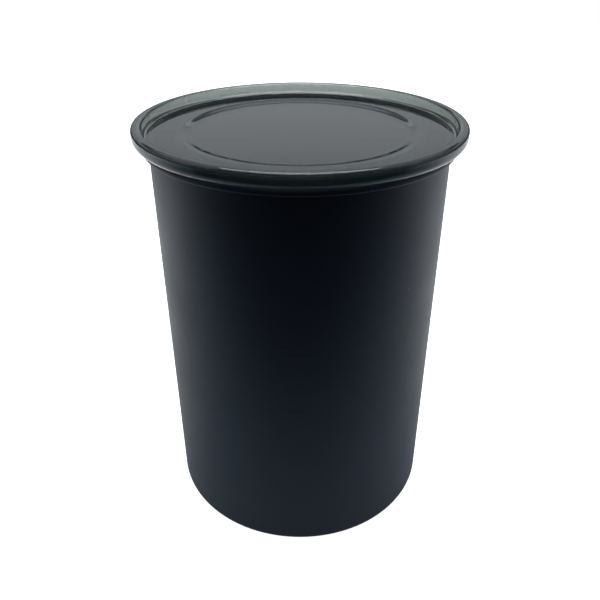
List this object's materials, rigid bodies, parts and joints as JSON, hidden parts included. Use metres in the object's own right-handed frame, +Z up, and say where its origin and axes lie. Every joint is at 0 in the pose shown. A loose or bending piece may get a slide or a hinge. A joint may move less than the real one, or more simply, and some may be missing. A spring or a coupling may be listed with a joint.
{
  "type": "coffee canister",
  "caption": "Cylindrical coffee canister with a clear lift-off lid and a press-down inner lid that has a folding handle and a vent valve.",
  "frame": {"origin": "centre of the base, on the plane where the can stands", "axes": "+Z up along the can's axis; X along the handle's hinge pins; the folded handle's finger tab points to -Y, the side the picture is taken from"},
  "size_m": [0.133, 0.133, 0.1776],
  "materials": {
    "coated_steel": "matte powder coat",
    "clear_plastic": "clear, gloss",
    "black_plastic": "fine matte",
    "seal_silicone": "smooth matte",
    "screw_steel": "plated",
    "valve_plastic": "satin",
    "valve_silicone": "translucent satin",
    "screen_steel": "perforated sheet",
    "handle_plastic": "satin",
    "pin_steel": "ground"
  },
  "bodies": {
    "can": {"canister_shell": "coated_steel"},
    "lid": {"outer_lid": "clear_plastic"},
    "inner_lid": {"plunger_base": "black_plastic", "wiper_seal": "seal_silicone", "plunger_cup": "black_plastic", "valve_tower": "black_plastic", "clamp_screws": "screw_steel", "valve_housing": "valve_plastic", "valve_cap": "valve_plastic", "filter_screen": "screen_steel", "filter_ring": "valve_plastic", "pivot_pin_right": "pin_steel", "pivot_pin_left": "pin_steel"},
    "bail": {"handle": "handle_plastic"},
    "vent": {"valve_flap": "valve_silicone"}
  },
  "joints": [
    {"name": "lid_lift", "type": "slide", "parent": "can", "child": "lid", "axis": [0, 0, 1], "range_m": [0, 0.12]},
    {"name": "plunger_slide", "type": "slide", "parent": "can", "child": "inner_lid", "axis": [0, 0, 1], "range_m": [-0.047, 0.062]},
    {"name": "handle_fold", "type": "hinge", "parent": "inner_lid", "child": "bail", "pos_m": [0, 0, 0.0638], "axis": [-1, 0, 0], "range_deg": [0, 180]},
    {"name": "valve_lift", "type": "slide", "parent": "inner_lid", "child": "vent", "axis": [0, 0, 1], "range_m": [0, 0.001]}
  ]
}
